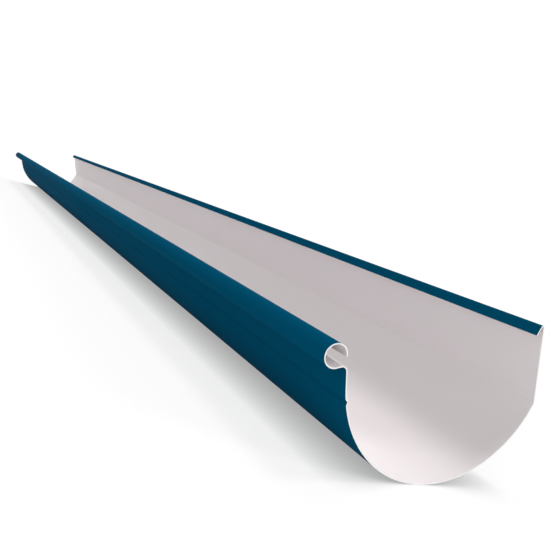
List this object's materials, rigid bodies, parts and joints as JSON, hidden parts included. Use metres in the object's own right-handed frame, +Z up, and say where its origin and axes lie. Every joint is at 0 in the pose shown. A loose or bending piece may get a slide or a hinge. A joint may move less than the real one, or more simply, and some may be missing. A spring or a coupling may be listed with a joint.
{
  "type": "gutter section",
  "caption": "Straight length of half-round rainwater gutter with a flat back, rolled front bead and folded back lip, blue outside and off-white inside.",
  "frame": {"origin": "bottom centre of the length as it lies on a level floor, under the middle of its box", "axes": "+X along the gutter, -Y towards the bead along the front edge, +Y towards the flat back, +Z up; the section is rolled 17.0 degrees towards the bead, as a loose length settles"},
  "size_m": [1.8, 0.175, 0.1165],
  "materials": {
    "coated_steel": "satin"
  },
  "bodies": {
    "root": {"gutter_section": "coated_steel"}
  },
  "joints": []
}
